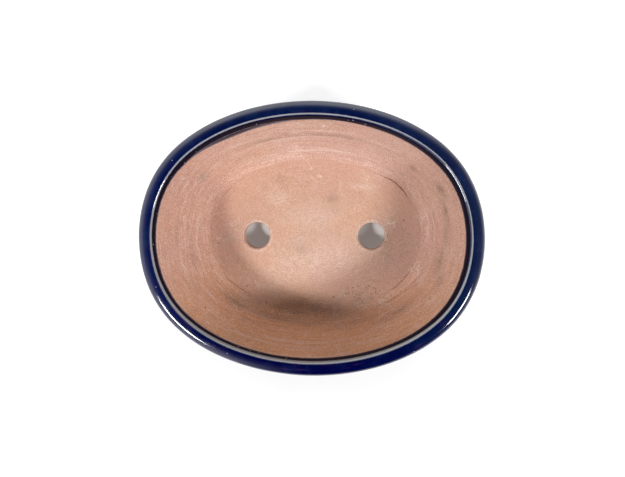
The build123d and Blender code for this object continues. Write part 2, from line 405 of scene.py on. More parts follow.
def make_wall():
    """The wall band, from the tongue that the lip hooks over down to the slab's rebate."""
    inside = inner_path(LAP_HEIGHT, FILLET_TOP, 110)
    foot = everywhere(np.array([(REBATE[0], FLOOR_TOP), REBATE]))
    heights = np.linspace(REBATE[1], LIP_BOTTOM, 40)
    outside = everywhere(np.column_stack((outer_inset(heights), heights)))
    tongue = everywhere(np.array([(WALL_TOP_INSET, TONGUE[1]), TONGUE, (TONGUE[0], LAP_HEIGHT)]))
    inset, height = side_by_side(inside, foot, outside, tongue)
    return ring_piece("wall_clay", inset, height, marks=wall_marks(height))


def lip_outside(coat):
    """The lip from under its overhang, over the top and to its inner face."""
    outer = LIP_OUTER_RADIUS - GLAZE + coat
    inner = LIP_INNER_RADIUS - GLAZE + coat
    lower = (LIP_OUTER_RADIUS, LIP_BOTTOM + LIP_OUTER_RADIUS)
    upper = (LIP_OUTER_RADIUS, LIP_TOP - LIP_OUTER_RADIUS)
    flat_end = (LIP_OUTER_RADIUS + LIP_FLAT, LIP_CENTRE)
    return join(
        arc(lower, (outer, outer), 270, 180, 18),
        line((LIP_OUTER_RADIUS - outer, lower[1]), (LIP_OUTER_RADIUS - outer, upper[1]), 5),
        arc(upper, (outer, outer), 180, 90, 20),
        line((upper[0], upper[1] + outer), (flat_end[0], flat_end[1] + inner), 7),
        arc(flat_end, (inner, inner), 90, 0, 16),
    )


def soften(path, passes):
    """Round off the changes of curvature along an open path, keeping its ends."""
    path = path.copy()
    for _ in range(passes):
        path[1:-1] = (path[:-2] + 2 * path[1:-1] + path[2:]) / 4
    return path


def make_lip():
    """The clay of the lip, hooked over the wall's tongue."""
    over = everywhere(lip_outside(0))
    inside = inner_path(LIP_CENTRE - 0.2, LAP_HEIGHT, 30)
    hook = np.array([
        (TONGUE[0], LAP_HEIGHT),
        TONGUE,
        (WALL_TOP_INSET, TONGUE[1]),
        (WALL_TOP_INSET, LIP_BOTTOM + GLAZE),
    ])
    return ring_piece("lip_clay", *side_by_side(over, inside, everywhere(hook)))


def open_seam(direction):
    """How open the seam beside the corner coil is, 0 to about 1."""
    depth = np.zeros(direction.shape)
    for degrees, half_length, gap in SEAM_GAPS:
        depth = np.maximum(depth, gap * np.exp(-((turn_from(direction, degrees) / half_length) ** 4)))
    return depth


def toe_inset(direction):
    """Where the corner coil's uneven inner edge meets the floor."""
    c, s = np.cos(direction), np.sin(direction)
    sway = TOE_SWAY * noise_at(3 * c, 3 * s, 5)
    nicks = TOE_NICKS * noise_at(14 * c, 14 * s, 9)
    return FILLET_TOE + sway + nicks


def coil_front(direction, top_inset, toe, toe_height):
    """The corner coil's hollow front, from its ledge under the wall to its toe on the floor."""
    c, s = np.cos(direction), np.sin(direction)
    step = FILLET_STEP + 0.15 * noise_at(5 * c, 5 * s, 2)
    ledge = top_inset + 0.75 * step
    start = np.stack((ledge, np.full_like(ledge, FILLET_TOP)), axis=2)
    corner = np.array((inner_inset(FILLET_TOP) + FILLET_HOLLOW[0], FLOOR_TOP + FILLET_HOLLOW[1]))
    end = np.stack((toe, toe_height), axis=2)
    share = np.linspace(0, 1, 26)[None, :]
    t = share[:, :, None]
    curve = (1 - t) ** 2 * start + 2 * t * (1 - t) * corner + t**2 * end
    ripple = COIL_RIPPLE * noise_at(1.6 * c, 1.6 * s, share * 3)
    return curve[:, :, 0] + ripple, curve[:, :, 1] + ripple


def coil_back(top_inset, toe, toe_step):
    """The coil's hidden sides, just inside the floor and the wall."""
    corners = (
        (toe + 0.1, FLOOR_TOP + 0.4 * toe_step),
        (toe, FLOOR_TOP - 0.2),
        (REBATE[0], FLOOR_TOP),
        (top_inset - 0.1, FILLET_TOP - 0.2),
        (top_inset - 0.05, FILLET_TOP + 0.3),
    )
    inset = np.concatenate([np.broadcast_to(corner[0], toe.shape) for corner in corners], axis=1)
    height = np.concatenate([np.broadcast_to(corner[1], toe.shape) for corner in corners], axis=1)
    return inset, height


def make_fillet():
    """The uneven coil pressed into the corner between wall and floor."""
    direction = directions()[:, None]
    top_inset = inner_inset(FILLET_TOP) + wiped(direction, np.full_like(direction, FILLET_TOP))
    toe = toe_inset(direction)
    toe_step = 0.03 + SEAM_RISE * open_seam(direction)
    front = coil_front(direction, top_inset, toe, FLOOR_TOP + toe_step)
    inset, height = side_by_side(front, coil_back(top_inset, toe, toe_step))
    return ring_piece("corner_fillet_clay", inset, height, 50, marks=wall_marks(height))


def floor_lift(x, y):
    """Unevenness of the floor's top, with a raised ring round each drain hole."""
    lift = FLOOR_LUMPS * noise_at(x / 35, y / 35, 3, 2) + FLOOR_DINTS * noise_at(x / 7, y / 7, 8)
    for hole_x, radius in HOLES:
        away = np.hypot(x - hole_x, y)
        ring = hump(away, radius + RIM_PLACE, RIM_HALF_WIDTH)
        lift = lift * ramp(away, radius, radius + FLAT_ROUND_HOLE) + RIM_RISE * ring
    return lift


def floor_flow(x, y, height):
    """Flow coordinates on the floor, where the oval is near enough an ellipse."""
    direction = np.arctan2(y / HALF_WIDTH, x / HALF_LENGTH)
    inset = (1 - np.hypot(x / HALF_LENGTH, y / HALF_WIDTH)) * (HALF_LENGTH + HALF_WIDTH) / 2
    return flow_at(direction, inset + LIP_TOP - height)


def seam_gap(direction, inset):
    """The fine open seam beside the corner coil: how deep it is."""
    return open_seam(direction) * hump(inset, toe_inset(direction) + SEAM_PLACE, SEAM_HALF_WIDTH)


def slab_edge(end, steps):
    """The slab's rounded edge, from the wall's foot down towards the flat underside."""
    radii = (EDGE_INSET - WALL_FOOT_INSET, REBATE[1] - UNDERSIDE)
    return arc((EDGE_INSET, REBATE[1]), radii, 180, end, steps)


def floor_top(direction):
    """The floor's top from its middle to the rebate: fine rings by the seam, coarser inside."""
    fine_rings = np.arange(REBATE[0], FINE_RINGS_END, 0.15)
    coarse_rings = np.arange(FINE_RINGS_END, FLOOR_MIDDLE, 0.5)
    rim = np.concatenate((fine_rings, coarse_rings))[None, :]
    rim_x, rim_y = oval(direction, rim)
    middle_x, middle_y = oval(direction, FLOOR_MIDDLE)
    share = np.linspace(0.004, 1, 95)[None, :]
    x = np.concatenate((middle_x * share, rim_x[:, ::-1]), axis=1)
    y = np.concatenate((middle_y * share, rim_y[:, ::-1]), axis=1)
    z = FLOOR_TOP + floor_lift(x, y)
    z[:, share.shape[1]:] -= seam_gap(direction, rim)[:, ::-1]
    return x, y, z


def floor_under(direction):
    """The slab's rounded edge and its underside, from the rebate to the middle."""
    edge = slab_edge(270, 10)
    edge_x, edge_y = oval(direction, edge[:, 0][None, :])
    edge_z = np.tile(edge[:, 1], (AROUND, 1))
    share = np.linspace(0.99, 0.004, 60)[None, :]
    flat_x, flat_y = edge_x[:, -1:] * share, edge_y[:, -1:] * share
    flat_z = UNDERSIDE + UNDERSIDE_LUMPS * noise_at(flat_x / 12, flat_y / 12, 4)
    return (
        np.concatenate((edge_x, flat_x), axis=1),
        np.concatenate((edge_y, flat_y), axis=1),
        np.concatenate((edge_z, flat_z), axis=1),
    )


def make_floor():
    """The base slab, with its rebated rim and two drain holes."""
    direction = directions()[:, None]
    top = floor_top(direction)
    rebate = (top[0][:, -1:], top[1][:, -1:], np.full((AROUND, 1), REBATE[1]))
    grids = zip(top, rebate, floor_under(direction))
    x, y, z = [np.concatenate(grid, axis=1) for grid in grids]
    points = np.stack((x, y, z), axis=2).reshape(-1, 3)
    slab = mesh_piece("floor_slab_clay", points, capped_faces(*x.shape), sharp_degrees=50)
    for hole_x, radius in HOLES:
        drill(slab, hole_x, radius)
    drilled = np.array([vertex.co for vertex in slab.data.vertices]) / MM
    attach(slab.data, "flow", floor_flow(*drilled.T))
    attach(slab.data, "marks", floor_marks(*drilled.T[:2]))
    return slab


def drill(slab, hole_x, radius):
    """Cut one drain hole with a waisted plug, so that both its edges come out rounded."""
    height = FLOOR_TOP - UNDERSIDE
    edge = arc((radius + HOLE_EDGE, height / 2 - HOLE_EDGE), (HOLE_EDGE, HOLE_EDGE), 180, 90, 8)
    beyond = (radius + 1.6 * HOLE_EDGE, height / 2 + 2)
    upper = join(line((radius, 0), edge[0], 6), edge, line(edge[-1], beyond, 4))
    profile = np.concatenate((upper[:0:-1] * (1, -1), upper))
    turn = np.linspace(0, 2 * math.pi, 120, endpoint=False)[:, None]
    x = hole_x + profile[None, :, 0] * np.cos(turn)
    y = profile[None, :, 0] * np.sin(turn)
    z = np.tile(profile[:, 1] + UNDERSIDE + height / 2, (len(turn), 1))
    points = np.stack((x, y, z), axis=2).reshape(-1, 3)
    plug = mesh_piece("plug", points, capped_faces(*x.shape))
    cut = slab.modifiers.new("drain_hole", "BOOLEAN")
    cut.object = plug
    cut.operation = "DIFFERENCE"
    cut.solver = "EXACT"
    cut_slab = slab.evaluated_get(bpy.context.evaluated_depsgraph_get())
    mesh = bpy.data.meshes.new_from_object(cut_slab)
    slab.modifiers.clear()
    slab.data = mesh
    bpy.data.objects.remove(plug)


# ---- glaze ----
def glaze_line(direction):
    """Height of the glaze's lower edge inside the lip; it ran deeper on one side."""
    x, y = oval(direction, LIP_INNER_INSET)
    across = x * math.sin(GLAZE_DIP_ANGLE) - y * math.cos(GLAZE_DIP_ANGLE)
    facing = x * math.cos(GLAZE_DIP_ANGLE) + y * math.sin(GLAZE_DIP_ANGLE) > 0
    share = np.clip(across / GLAZE_DIP_HALF_WIDTH, -1, 1)
    dip = np.where(facing, 0.5 * (1 + np.cos(math.pi * share)), 0)
    c, s = np.cos(direction), np.sin(direction)
    return GLAZE_LINE - GLAZE_DIP * dip + GLAZE_LINE_WAVE * noise_at(9 * c, 9 * s, 1)


def path_length(path):
    """Distance along a path to each of its points."""
    return np.concatenate(([0], np.cumsum(np.hypot(*np.diff(path, axis=0).T))))


def lip_coat_top(direction):
    """The coat's face over the lip's top, with each point's distance from the lip's ridge."""
    outside = soften(lip_outside(GLAZE), 12)
    run = path_length(outside)
    run = run - run[-1] + LIP_INNER_RUN
    c, s = np.cos(direction), np.sin(direction)
    wave = GLAZE_WAVE * noise_at(3.0 * c, 3.0 * s, outside[None, :, 1] / 9)
    inset, height = everywhere(outside)
    return (inset + wave, height + 0.6 * wave), np.tile(run, (AROUND, 1))


def lip_coat_inside(direction, line_height, ran):
    """The coat's face inside the lip, and the clay behind it, down to the glaze line."""
    top = LIP_CENTRE - 0.1
    share = np.linspace(0, 1, 48)[None, 1:]
    height = top - (top - line_height) * share
    clay = inner_inset(height) + wiped(direction, height)
    gap = height - line_height
    second_coat = ramp(height, GLAZE_LINE - 0.35, GLAZE_LINE + 0.15)
    thickness = GLAZE * (1 - 0.55 * ran * (1 - second_coat)) + 0.12 * hump(gap, 0.5, 0.4)
    return (clay + thickness * rounded(gap, GLAZE_EDGE), height), (clay[:, ::-1], height[:, ::-1])


def lip_glaze_marks(height, line_height, ran):
    """The glaze's pale edges, painted highlights along its rounded lower edge and its second coat's
    ridge; where it is thin over the clay; and where that has faded.
    """
    # Painted highlights: the second coat's ridge and the glaze's rounded lower edge.
    first_coat = ran * hump(height, GLAZE_LINE + 0.15, 0.45)
    edge = np.maximum(hump(height, line_height + 0.5, 0.55), first_coat)
    bare = ran * ramp(height, GLAZE_LINE - 0.1, GLAZE_LINE - 0.6)
    faded = bare * hump(height, line_height, 1.8)
    return np.stack((edge, bare, faded), axis=-1)


def make_lip_glaze():
    """The coat over the lip. Its flow coordinate runs inward from the middle of the lip's top."""
    direction = directions()[:, None]
    line_height = glaze_line(direction)
    ran = ramp(GLAZE_LINE - line_height, 0.4, 1.2)
    over, down_over = lip_coat_top(direction)
    drop, behind = lip_coat_inside(direction, line_height, ran)
    under = everywhere(lip_outside(0)[::-1])
    heel = everywhere(np.array([(WALL_TOP_INSET, LIP_BOTTOM + GLAZE), (WALL_TOP_INSET, LIP_BOTTOM)]))
    down_drop = LIP_INNER_RUN + LIP_CENTRE - drop[1]
    down_hidden = np.zeros((AROUND, under[0].shape[1] + heel[0].shape[1]))
    down = np.concatenate((down_over, down_drop, down_drop[:, ::-1], down_hidden), axis=1)
    inset, height = side_by_side(over, drop, behind, under, heel)
    marks = lip_glaze_marks(height, line_height, ran)
    first, last = over[0].shape[1], over[0].shape[1] + drop[0].shape[1]
    marks[:, :first] = 0
    marks[:, last:] = 0
    return ring_piece("lip_glaze_coat", inset, height, 60, down, marks)


def make_wall_glaze():
    """The coat down the outside, thicker in runs and where it pooled above the foot."""
    direction = directions()[:, None]
    c, s = np.cos(direction), np.sin(direction)
    heights = np.linspace(LIP_BOTTOM, REBATE[1], 70)
    side = np.column_stack((outer_inset(heights), heights))
    clay = join(side, slab_edge(248, 14))
    step = np.gradient(clay, axis=0)
    normal = np.column_stack((step[:, 1], -step[:, 0]))
    normal /= np.linalg.norm(normal, axis=1, keepdims=True)
    run = path_length(clay)
    to_end = run[-1] - run
    pooled = rounded(to_end, 1.0) * (1 + POOL * hump(to_end, 1.4, 1.6))
    below_lip = ramp(run, 2, 20)
    runs = RUNS * ramp(noise_at(7 * c, 7 * s, run[None, :] / 60), 0.05, 0.5) * below_lip
    swell = SWELLS * noise_at(4 * c, 4 * s, run[None, :] / 30)
    thickness = GLAZE * pooled[None, :] * (1 + runs + swell)
    coat_inset = clay[None, :, 0] + normal[None, :, 0] * thickness
    coat_height = clay[None, :, 1] + normal[None, :, 1] * thickness
    inset, height = side_by_side((coat_inset, coat_height), everywhere(clay[::-1]))
    return ring_piece("wall_glaze_coat", inset, height, 60, height - LIP_TOP - LIP_OUTER_RADIUS)


# ---- feet ----
def foot_half_width(height):
    """Half the width of a bracket foot: a round lobe above a hollow that runs to the toe."""
    if height > LOBE_TOP:
        return TOP_HALF
    if height > LOBE_BOTTOM:
        fall = (LOBE_TOP - height) / (LOBE_TOP - LOBE_BOTTOM)
        return LOBE_HALF + (TOP_HALF - LOBE_HALF) * math.sqrt(1 - fall**2)
    return TOE_HALF + (LOBE_HALF - TOE_HALF) * (height / LOBE_BOTTOM) ** 2.2


def foot_levels(bottom):
    """Heights of a foot's rows, closer together round the lobe and at the lower edge."""
    return np.concatenate((
        np.linspace(UNDERSIDE, LOBE_TOP, 6)[:-1],
        np.linspace(LOBE_TOP, LOBE_BOTTOM, 18)[:-1],
        np.linspace(LOBE_BOTTOM, bottom + FOOT_EASE, 10)[:-1],
        bottom + FOOT_EASE * (1 - np.sin(np.linspace(0, math.pi / 2, 7))),
    ))


def foot_loop(height, stand_off):
    """Rounded rectangle (across, depth) round a foot at one height, moved out by stand_off."""
    middle = FOOT_THICK / 2
    draft = FOOT_DRAFT * (1 - height / UNDERSIDE)
    half = foot_half_width(height) - FOOT_CORNER
    deep = middle - draft - FOOT_CORNER
    places = np.array([(half, -deep), (half, deep), (-half, deep), (-half, -deep)])
    turns = np.radians(np.array([-90, 0, 90, 180])[:, None] + np.linspace(0, 90, 7))
    outward = np.stack((np.cos(turns), np.sin(turns)), axis=2)
    rounds = places[:, None, :] + FOOT_CORNER * outward
    points, normals = [], []
    for side, steps in enumerate((8, 32, 8, 32)):
        straight = line(rounds[side, -1], rounds[(side + 1) % 4, 0], steps + 1)[1:-1]
        points += [rounds[side], straight]
        normals += [outward[side], np.tile(outward[side, -1], (steps - 1, 1))]
    points, normals = np.concatenate(points), np.concatenate(normals)
    return points + normals * stand_off(points[:, 1:]) + (0, middle)


def foot_place(across, depth, height, corner):
    """Bend a foot's straight block along the oval, at one of the pot's four corners."""
    x, y = oval(np.array(FOOT_DIRECTION), FOOT_OUTER)
    angle = FOOT_DIRECTION + across / FOOT_BEND
    x = x - FOOT_BEND * math.cos(FOOT_DIRECTION) + (FOOT_BEND - depth) * np.cos(angle)
    y = y - FOOT_BEND * math.sin(FOOT_DIRECTION) + (FOOT_BEND - depth) * np.sin(angle)
    return np.stack((corner[0] * x, corner[1] * y, height), axis=-1)


def foot_piece(name, corner, levels, loops, closed):
    """A mesh from loops stacked down a foot, either closed into a sleeve or capped at both ends."""
    rows, columns = len(loops), len(loops[0])
    stack = np.stack(loops)
    heights = np.tile(np.array(levels)[:, None], (1, columns))
    points = foot_place(stack[:, :, 0], stack[:, :, 1], heights, corner).reshape(-1, 3)
    faces = band_faces(rows, columns, closed, True)
    if not closed:
        faces.append(list(range(columns)))
        faces.append(list(range((rows - 1) * columns, rows * columns))[::-1])
    if corner[0] * corner[1] < 0:
        faces = [tuple(face)[::-1] for face in faces]
    flow = floor_flow(*points.T)
    flow[:, 2] = (points[:, 2] + FOOT_DOWN) / DOWN_UNIT
    return mesh_piece(name, points, faces, flow, 40)


def make_foot(name, corner):
    """One clay foot, with an eased edge where it stands."""
    levels = foot_levels(0.0)
    ease = FOOT_EASE * (1 - rounded(levels, FOOT_EASE))
    loops = [
        foot_loop(level, lambda depth, inward=inward: np.full_like(depth, -inward))
        for level, inward in zip(levels, ease)
    ]
    return foot_piece(name, corner, levels, loops, False)


def make_foot_glaze(name, corner):
    """The coat on a foot's outer face and ends: a sleeve that dips under the clay at the back."""
    levels = foot_levels(FOOT_GLAZE_BOTTOM)
    bead = rounded(levels - FOOT_GLAZE_BOTTOM, FOOT_EASE)

    def coat(amount):
        return lambda depth: (amount + FOOT_GLAZE_DIP) * ramp(-depth, -2.6, -1.0) - FOOT_GLAZE_DIP

    def back(depth):
        return np.full_like(depth, -FOOT_GLAZE_BACK)

    loops = [foot_loop(level, coat(GLAZE * swell)) for level, swell in zip(levels, bead)]
    loops += [foot_loop(level, back) for level in levels[::-1]]
    return foot_piece(name, corner, np.concatenate((levels, levels[::-1])), loops, True)


# ---- materials ----
class Nodes:
    """A short way to add and link shader nodes."""

    def __init__(self, tree):
        self.tree = tree
        tree.nodes.clear()

    def add(self, kind, inputs=None, **settings):
        node = self.tree.nodes.new(kind)
        for key, value in settings.items():
            setattr(node, key, value)
        for key, value in (inputs or {}).items():
            self.put(node.inputs[key], value)
        return node

    def put(self, socket, value):
        if isinstance(value, bpy.types.NodeSocket):
            self.tree.links.new(value, socket)
        else:
            socket.default_value = value

    def attribute(self, name):
        return self.add("ShaderNodeAttribute", attribute_name=name).outputs["Vector"]

    def position(self):
        """Where a point of the piece is, in metres."""
        return self.add("ShaderNodeTexCoord").outputs["Object"]

    def parts(self, vector):
        return self.add("ShaderNodeSeparateXYZ", {0: vector}).outputs

    def stretch(self, vector, scale):
        node = self.add("ShaderNodeVectorMath", {0: vector, 1: scale}, operation="MULTIPLY")
        return node.outputs["Vector"]

    def noise(self, vector, scale, detail=4.0, roughness=0.55, distortion=0.0):
        inputs = {
            "Vector": vector,
            "Scale": scale,
            "Detail": detail,
            "Roughness": roughness,
            "Distortion": distortion,
        }
        return self.add("ShaderNodeTexNoise", inputs).outputs["Fac"]

    def spots(self, vector, scale, size, chosen):
        """Small round spots: 1 inside, in this share of the texture's cells."""
        node = self.add("ShaderNodeTexVoronoi", {"Vector": vector, "Scale": scale}, feature="F1")
        pick = self.add("ShaderNodeSeparateColor", {"Color": node.outputs["Color"]}).outputs[0]
        inside = self.range(node.outputs["Distance"], size, size / 2)
        return self.math("MULTIPLY", inside, self.math("LESS_THAN", pick, chosen))

    def range(self, value, low, high, to_low=0.0, to_high=1.0):
        """Smooth step from to_low, where the value is low, to to_high, where it is high."""
        inputs = {
            "Value": value,
            "From Min": low,
            "From Max": high,
            "To Min": to_low,
            "To Max": to_high,
        }
        node = self.add("ShaderNodeMapRange", inputs, interpolation_type="SMOOTHSTEP")
        return node.outputs["Result"]

    def math(self, operation, a, b=0.0):
        return self.add("ShaderNodeMath", {0: a, 1: b}, operation=operation).outputs[0]

    def times(self, a, b):
        return self.math("MULTIPLY", a, b)

    def weigh(self, *terms):
        """The sum of values, each times its weight."""
        total = 0.0
        for value, weight in terms:
            inputs = {0: value, 1: weight, 2: total}
            total = self.add("ShaderNodeMath", inputs, operation="MULTIPLY_ADD").outputs[0]
        return total

    def blend(self, factor, a, b):
        """A number between a and b."""
        return self.add("ShaderNodeMix", {0: factor, 2: a, 3: b}, data_type="FLOAT").outputs[0]

    def mix(self, factor, a, b):
        """A colour between a and b."""
        node = self.add("ShaderNodeMix", data_type="RGBA")
        self.put(node.inputs[0], factor)
        self.put(node.inputs[6], a)
        self.put(node.inputs[7], b)
        return node.outputs[2]

    def lay(self, colour, *layers):
        """Lay colours over one another; each layer is (amount, red, green, blue)."""
        for amount, *over in layers:
            colour = self.mix(amount, colour, rgb(*over))
        return colour

    def bump(self, height, strength, distance):
        inputs = {"Height": height, "Strength": strength, "Distance": distance}
        return self.add("ShaderNodeBump", inputs).outputs["Normal"]

    def finish(self, **sockets):
        """End a material with one Principled shader."""
        inputs = {name.replace("_", " "): value for name, value in sockets.items()}
        shader = self.add("ShaderNodeBsdfPrincipled", inputs)
        output = self.add("ShaderNodeOutputMaterial")
        self.tree.links.new(shader.outputs["BSDF"], output.inputs["Surface"])


def new_material(name):
    material = bpy.data.materials.new(name)
    material.use_nodes = True
    return material, Nodes(material.node_tree)


def rgb(red, green, blue):
    return (red, green, blue, 1.0)


def clay_tones(n, place, on_wall):
    """Broad colours: pink and orange clouds, painted warm bounce light on the shaded front, paler at
    the back right.
    """
    broad = n.noise(place, 20.0, 3.0, 0.6)
    x, y = n.parts(place)[0:2]
    hue = n.range(on_wall, 0.0, 1.0, 0.55, 0.80)
    pink = n.times(n.range(broad, 0.50, 0.64), hue)
    orange = n.times(n.range(broad, 0.50, 0.36), hue)
    blush = n.range(x, -0.010, -0.080, 0.0, 0.65)
    paler = n.times(n.range(x, 0.010, 0.060), n.range(y, 0.005, 0.045, 0.0, 0.70))
    amber = n.times(n.range(y, 0.005, 0.030, 0.0, 0.35), n.range(on_wall, 0.6, 0.0))
    # Painted warm bounce light: the shaded front of the wall and floor turns more orange.
    front_bounce = n.times(n.range(y, 0.0, -0.065), n.range(on_wall, 0.0, 1.0, 0.35, 1.0))
    return n.lay(
        n.mix(on_wall, rgb(0.585, 0.362, 0.268), rgb(0.590, 0.360, 0.272)),
        (pink, 0.580, 0.330, 0.285),
        (orange, 0.615, 0.340, 0.205),
        (blush, 0.570, 0.290, 0.222),
        (paler, 0.580, 0.360, 0.310),
        (amber, 0.600, 0.330, 0.200),
        (n.times(front_bounce, 0.95), 0.670, 0.345, 0.172),
    )


def clay_strokes(n, colour, streaks, fine_streaks, stroked):
    """Light and dark wiping strokes round the pot, broad and fine."""
    fine_amount = n.range(stroked, 0.0, 1.0, 0.35, 1.0)
    return n.lay(
        colour,
        (n.times(n.range(streaks, 0.51, 0.66, 0.0, 0.70), stroked), 0.68, 0.47, 0.38),
        (n.times(n.range(streaks, 0.47, 0.30, 0.0, 0.65), stroked), 0.42, 0.235, 0.155),
        (n.times(n.range(fine_streaks, 0.55, 0.66, 0.0, 0.75), fine_amount), 0.74, 0.56, 0.48),
        (n.times(n.range(fine_streaks, 0.45, 0.33, 0.0, 0.60), fine_amount), 0.38, 0.22, 0.155),
    )


def clay_scratches(n, place, blotches, patches):
    """Thin curved scratches, where a middling noise crosses its middle value."""
    curves = n.noise(place, 52.0, 2.0, 0.5, 0.6)
    off_curve = n.math("ABSOLUTE", n.math("SUBTRACT", curves, 0.5))
    scratched = n.times(n.range(blotches, 0.46, 0.60), n.range(patches, 0.48, 0.56))
    return n.times(n.range(off_curve, 0.012, 0.003), scratched)


def clay_specks(n, place, speckled):
    """Dark specks all over, and a cluster of finer ones where the clay is speckled."""
    large = n.spots(place, 150.0, 0.11, 0.07)
    small = n.spots(place, 330.0, 0.14, 0.03)
    cluster = n.times(n.spots(place, 760.0, 0.46, 0.42), n.range(speckled, 0.15, 0.60))
    return n.math("MAXIMUM", n.math("MAXIMUM", large, small), cluster)


def terracotta():
    """Bare fired clay: warm mottling with painted bounce light at the front, wiping strokes, slip
    smears, painted highlight rings round the drain holes, smudges and painted shade, grit and specks.
    """
    material, n = new_material("terracotta")
    place = n.position()
    flow = n.attribute("flow")
    smudge_and_shade, smear_and_sheen, speckled = n.parts(n.attribute("marks"))
    on_wall = n.range(n.parts(flow)[2], 0.84, 0.74)
    streaks = n.noise(n.stretch(flow, (2.4, 2.4, 25)), 1.0, 5.0, 0.62, 1.1)
    fine_streaks = n.noise(n.stretch(flow, (7.5, 7.5, 105)), 1.0, 4.0, 0.62, 0.7)
    patches = n.noise(place, 34.0, 3.0, 0.6)
    blotches = n.noise(place, 95.0, 4.0, 0.65)
    grain = n.noise(place, 900.0, 3.0, 0.7)
    grit = n.noise(place, 2300.0, 2.0, 0.6)

    stroked = n.times(n.range(patches, 0.38, 0.60, 0.25, 1.0), on_wall)
    scratch = clay_scratches(n, place, blotches, patches)
    # Pale slip smears, and the painted highlight rings round the drain holes.
    slip_and_sheen = n.times(smear_and_sheen, n.range(fine_streaks, 0.38, 0.62, 0.20, 1.0))
    patchy = n.range(n.math("ADD", blotches, fine_streaks), 0.80, 1.08, 0.22, 1.0)
    # Grey-brown smudges, and painted shade where the marks lie in shadow.
    soot_and_shade = n.times(smudge_and_shade, n.times(patchy, 0.95))
    gritty = n.range(on_wall, 0.0, 1.0, 0.50, 0.85)
    speck = clay_specks(n, place, speckled)
    colour = n.lay(
        clay_strokes(n, clay_tones(n, place, on_wall), streaks, fine_streaks, stroked),
        (n.range(blotches, 0.54, 0.72, 0.0, 0.40), 0.68, 0.50, 0.43),
        (n.range(blotches, 0.44, 0.28, 0.0, 0.40), 0.44, 0.25, 0.18),
        (n.times(scratch, 0.65), 0.80, 0.66, 0.58),
        (slip_and_sheen, 0.74, 0.58, 0.50),
        (soot_and_shade, 0.225, 0.160, 0.120),
        (n.range(grain, 0.40, 0.65, 0.0, 0.22), 0.38, 0.22, 0.16),
        (n.times(n.range(grit, 0.47, 0.32), gritty), 0.30, 0.17, 0.12),
        (n.times(n.range(grit, 0.53, 0.68), gritty), 0.86, 0.68, 0.58),
        (n.times(speck, 0.80), 0.07, 0.05, 0.045),
    )
    relief = n.weigh((fine_streaks, 0.8), (grain, 0.6))
    n.finish(
        Base_Color=colour,
        Roughness=n.range(streaks, 0.3, 0.7, 0.90, 0.76),
        Normal=n.bump(relief, 0.6, 0.00025),
        Specular_IOR_Level=0.25,
    )
    return material


def glaze_blue(n, flow, clouds):
    """The glaze's blue: darkest in front, brighter at the left, greyer at the right as painted
    reflection, cloudy, with violet streaks.
    """
    east, north = n.parts(flow)[0:2]
    streaks = n.noise(n.stretch(flow, (5.0, 5.0, 60)), 1.0, 4.0, 0.6, 0.3)
    mottled = n.range(north, -0.95, -0.40, 0.25, 0.70)
    violet = n.times(n.range(streaks, 0.55, 0.68), n.range(north, -0.40, -0.90, 0.25, 0.80))
    return n.lay(
        rgb(0.0004, 0.0012, 0.036),
        (n.range(north, -0.95, -0.20), 0.0007, 0.0055, 0.043),
        # Painted reflection: a greyer blue to the right, where the glaze mirrors the room.
        (n.range(east, 0.20, 0.95), 0.0009, 0.0068, 0.040),
        (n.range(east, -0.20, -0.95), 0.0008, 0.0055, 0.056),
        (n.times(n.range(clouds, 0.48, 0.72), mottled), 0.0040, 0.0150, 0.064),
        (n.range(clouds, 0.48, 0.30, 0.0, 0.5), 0.0002, 0.0008, 0.026),
        (violet, 0.035, 0.010, 0.062),
    )


def break_and_highlight(n, flow, ragged):
    """A pale line along the lip's inner edge, lower and wider to the front left: partly a glaze
    break, partly a painted highlight.
    """
    east, north, down = n.parts(flow)
    front = n.times(north, north)
    lean = n.weigh((east, -0.0070), (north, -0.0063), (front, 0.0028))
    away = n.math("ABSOLUTE", n.math("SUBTRACT", n.math("SUBTRACT", down, lean), 0.0275))
    half = n.weigh((east, -0.0012), (north, -0.0037), (front, 0.0028), (ragged, 0.0030))
    share = n.math("DIVIDE", away, n.math("ADD", half, 0.0042))
    return n.range(share, 1.25, 0.45, 0.0, 0.92)


def cobalt(name, specular):
    """Deep blue glaze, nearly black inside the lip as painted shade, with pale edges, partly painted
    highlights, and pores.
    """
    material, n = new_material(name)
    place = n.position()
    flow = n.attribute("flow")
    edge, bare, faded = n.parts(n.attribute("marks"))
    shaded_inside = n.range(n.parts(flow)[2], 0.030, 0.042)
    clouds = n.noise(place, 110.0, 4.0, 0.65)
    ragged = n.noise(n.stretch(flow, (40.0, 40.0, 0.0)), 1.0, 3.0, 0.7)
    ripple = n.noise(place, 38.0, 1.0, 0.4)
    open_pores = n.spots(place, 260.0, 0.11, 0.06)
    inside_pores = n.times(n.spots(place, 420.0, 0.22, 0.20), shaded_inside)
    pores = n.math("MAXIMUM", open_pores, inside_pores)

    run_colour = n.mix(faded, rgb(0.030, 0.020, 0.032), rgb(0.170, 0.130, 0.140))
    # Painted shade: the glaze inside the lip is laid nearly black.
    colour = n.lay(glaze_blue(n, flow, clouds), (shaded_inside, 0.007, 0.005, 0.013))
    colour = n.lay(
        n.mix(bare, colour, run_colour),
        # Painted highlights along the glaze's edges.
        (n.times(edge, n.range(ragged, 0.30, 0.60, 0.5, 1.0)), 0.17, 0.15, 0.20),
        # Pale line on the lip's inner edge: glaze break and painted highlight.
        (break_and_highlight(n, flow, ragged), 0.315, 0.315, 0.335),
        (n.times(pores, 0.60), 0.40, 0.41, 0.46),
    )
    n.finish(
        Base_Color=colour,
        Roughness=n.range(clouds, 0.3, 0.7, 0.07, 0.13),
        Normal=n.bump(n.weigh((ripple, 1.0), (pores, -0.2)), 0.2, 0.0003),
        IOR=1.5,
        Specular_IOR_Level=specular,
    )
    return material


